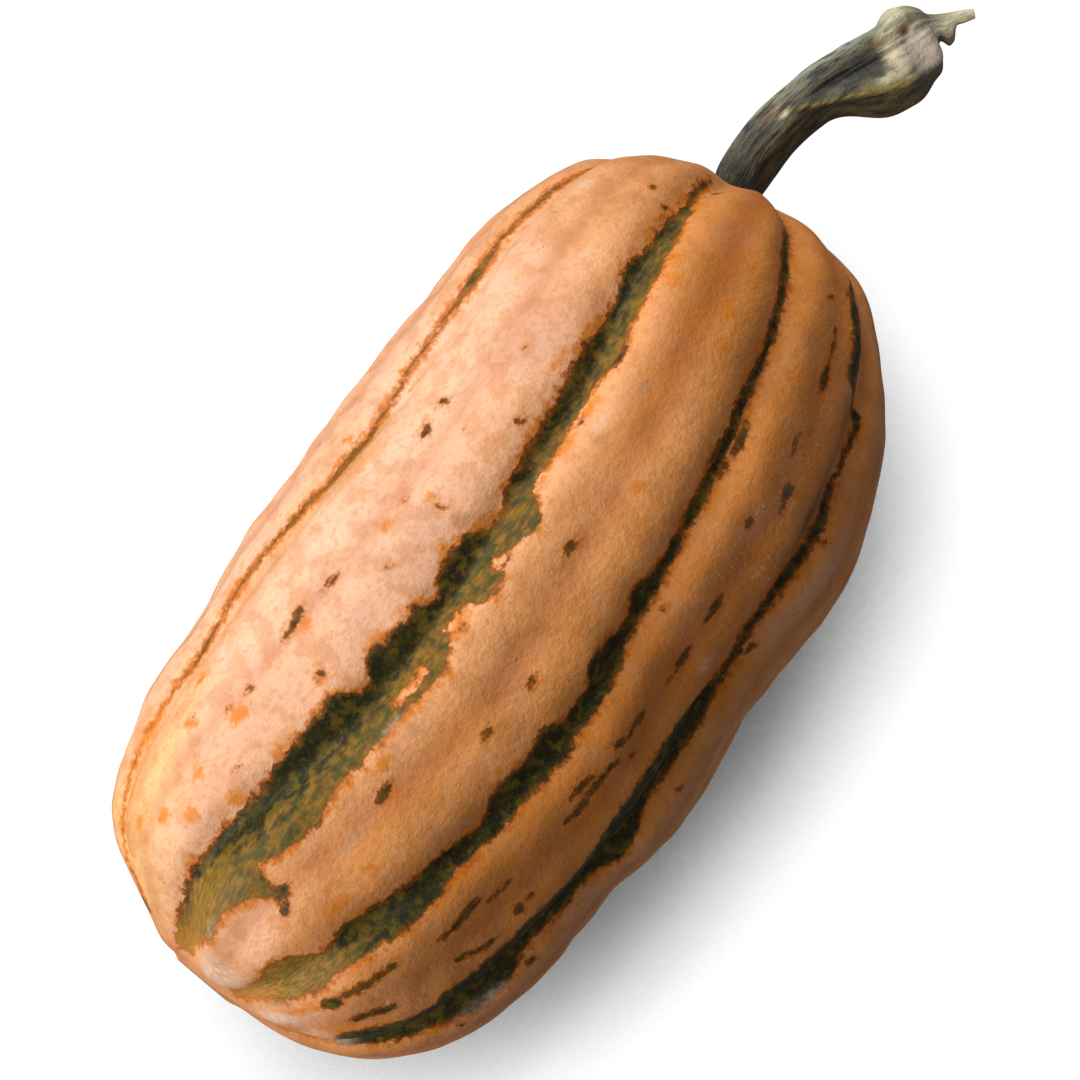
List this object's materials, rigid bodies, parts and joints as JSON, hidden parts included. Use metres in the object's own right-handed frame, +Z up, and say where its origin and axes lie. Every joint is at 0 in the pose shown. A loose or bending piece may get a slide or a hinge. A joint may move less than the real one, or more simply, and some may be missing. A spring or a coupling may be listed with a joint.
{
  "type": "delicata squash",
  "caption": "Oblong ribbed winter squash lying on its side, with a dry curved stem still attached at one end.",
  "frame": {"origin": "middle of the small flat spot on the underside that the squash lies on", "axes": "+Z up, +X along the fruit from its blossom end to its stem"},
  "size_m": [0.2163, 0.0909, 0.0871],
  "materials": {
    "rind": "satin, waxy squash rind, peach with dark green stripes",
    "stem_bark": "dull, dry and fibrous, grey green"
  },
  "bodies": {
    "root": {"fruit": "rind", "stem": "stem_bark"}
  },
  "joints": []
}
